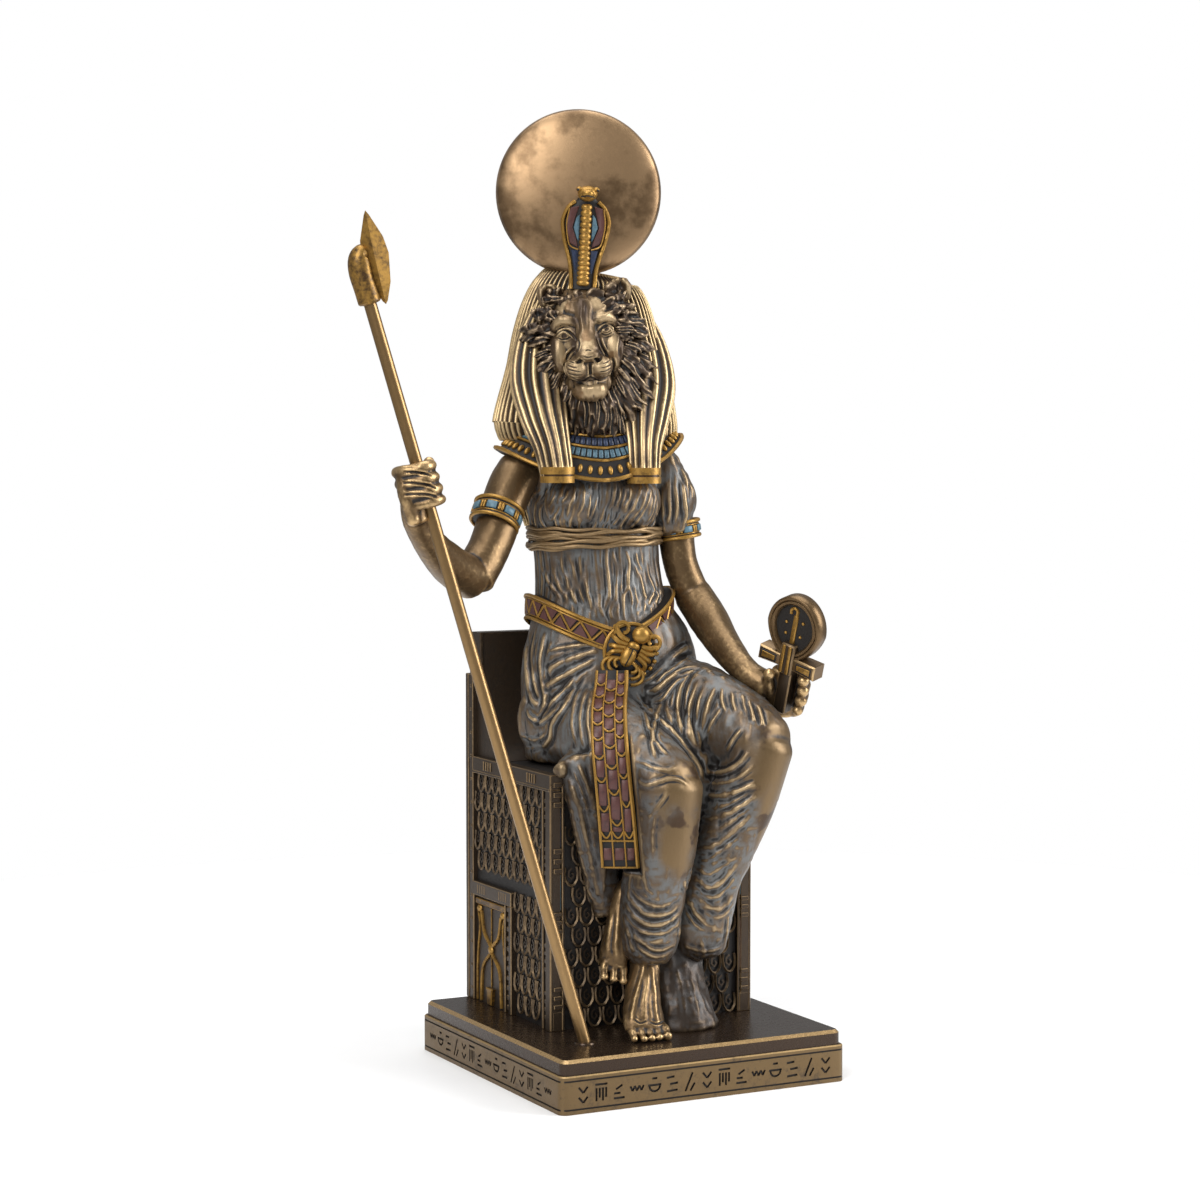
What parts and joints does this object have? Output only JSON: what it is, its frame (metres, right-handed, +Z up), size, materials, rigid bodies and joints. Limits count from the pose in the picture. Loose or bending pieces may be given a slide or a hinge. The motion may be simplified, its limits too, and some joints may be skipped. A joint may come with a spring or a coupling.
{
  "type": "seated lion-headed goddess statuette",
  "caption": "Lion-headed goddess seated on a throne with sun disc, cobra, looped cross and a staff, on a plinth.",
  "frame": {"origin": "centre of the plinth's flat underside", "axes": "+Z up, -Y towards the figure's front, +X towards the figure's left"},
  "size_m": [0.1392, 0.0948, 0.2824],
  "materials": {
    "bronze": "cold-cast bronze, dark patina with rubbed ridges, painted details",
    "staff_bronze": "satin bronze",
    "old_gold": "antique gold"
  },
  "bodies": {
    "root": {"statue": "bronze", "staff_shaft": "staff_bronze", "staff_head": "old_gold"}
  },
  "joints": []
}
